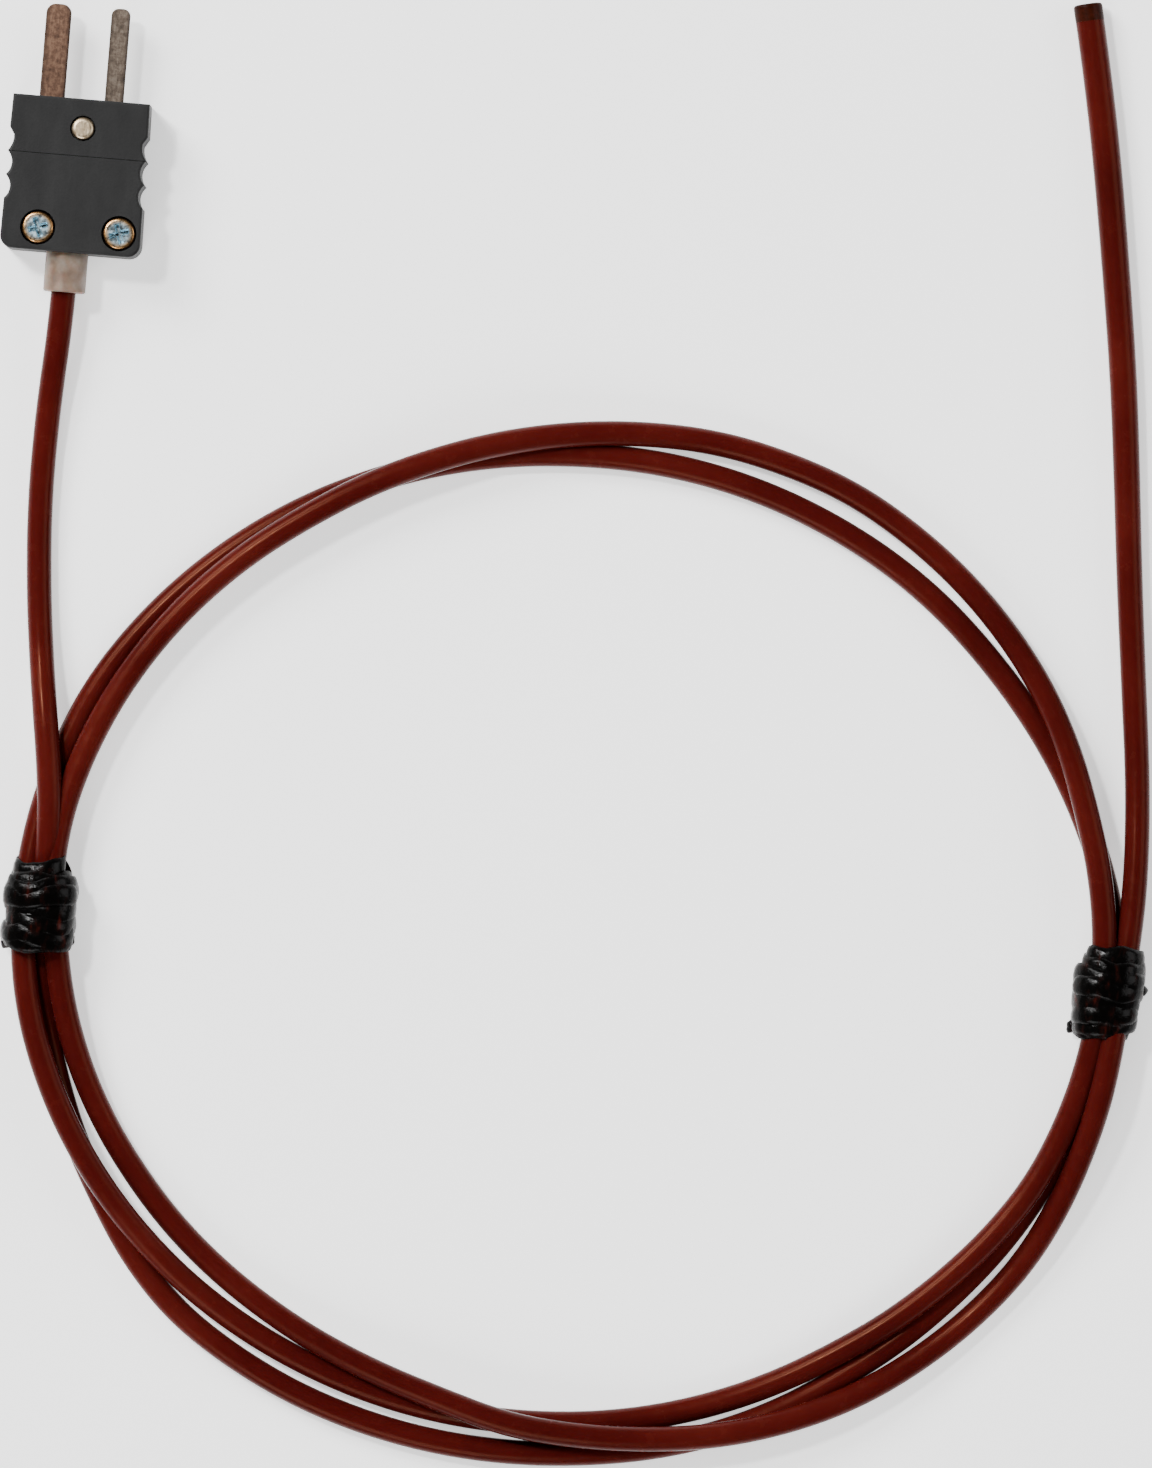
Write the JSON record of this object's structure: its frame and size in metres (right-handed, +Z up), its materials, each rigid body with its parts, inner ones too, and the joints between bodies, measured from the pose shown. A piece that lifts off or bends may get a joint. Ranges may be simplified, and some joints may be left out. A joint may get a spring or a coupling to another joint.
{
  "type": "thermocouple",
  "caption": "Flat-pin thermocouple plug with a screwed lid, its jacketed sensor cable tied in a flat coil, and a sealed measuring tip.",
  "frame": {"origin": "under the middle of the plug, pins and sleeve included, on the surface that it lies on", "axes": "+Z up; +Y the way the pins point; +X to the right with the pins pointing away and the wider negative pin on the left"},
  "size_m": [0.1533, 0.1922, 0.008],
  "materials": {
    "housing": "satin moulded charcoal",
    "rivet_metal": "dull nickel with a warm cast",
    "pin_alloy_negative": "tarnished copper-nickel alloy",
    "pin_alloy_positive": "tarnished iron alloy",
    "screw_metal": "bright plated",
    "insert_brass": "turned brass",
    "terminal_metal": "plated steel",
    "conductor_alloy": "bare thermo-element wire",
    "leg_insulation_light": "white fluoropolymer",
    "leg_insulation_dark": "black fluoropolymer",
    "sleeve": "milky translucent",
    "cable_jacket": "glossy red-brown fluoropolymer",
    "tip_seal": "fused dark end",
    "tie": "glossy black wound plastic"
  },
  "bodies": {
    "plug_and_cable": {"housing_base": "housing", "front_cap": "housing", "front_rivet": "rivet_metal", "pin_negative": "pin_alloy_negative", "pin_positive": "pin_alloy_positive", "cover_insert_left": "insert_brass", "cover_insert_right": "insert_brass", "terminal_washer_negative": "terminal_metal", "terminal_washer_positive": "terminal_metal", "conductor_negative": "conductor_alloy", "conductor_positive": "conductor_alloy", "leg_insulation_negative": "leg_insulation_light", "leg_insulation_positive": "leg_insulation_dark", "cable_sleeve": "sleeve", "cable_lead": "cable_jacket", "cable_coil": "cable_jacket", "cable_tip_lead": "cable_jacket", "tip_seal": "tip_seal", "junction_bead": "conductor_alloy", "tie_left": "tie", "tie_right": "tie"},
    "rear_cover": {"rear_cover": "housing"},
    "cover_screw_left": {"cover_screw_left": "screw_metal"},
    "cover_screw_right": {"cover_screw_right": "screw_metal"},
    "terminal_screw_negative": {"terminal_screw_negative": "terminal_metal"},
    "terminal_screw_positive": {"terminal_screw_positive": "terminal_metal"}
  },
  "joints": [
    {"name": "cover_lift", "type": "slide", "parent": "plug_and_cable", "child": "rear_cover", "axis": [0, 0, 1], "range_m": [0, 0.012]},
    {"name": "cover_screw_left_turn", "type": "hinge", "parent": "rear_cover", "child": "cover_screw_left", "pos_m": [-0.00425, -0.0104, 0.0072], "axis": [0, 0, 1], "continuous": true},
    {"name": "cover_screw_right_turn", "type": "hinge", "parent": "rear_cover", "child": "cover_screw_right", "pos_m": [0.0061, -0.0104, 0.0072], "axis": [0, 0, 1], "continuous": true},
    {"name": "terminal_screw_negative_turn", "type": "hinge", "parent": "plug_and_cable", "child": "terminal_screw_negative", "pos_m": [-0.00395, -0.00465, 0.006], "axis": [0, 0, 1], "continuous": true},
    {"name": "terminal_screw_positive_turn", "type": "hinge", "parent": "plug_and_cable", "child": "terminal_screw_positive", "pos_m": [0.00395, -0.00465, 0.006], "axis": [0, 0, 1], "continuous": true}
  ]
}
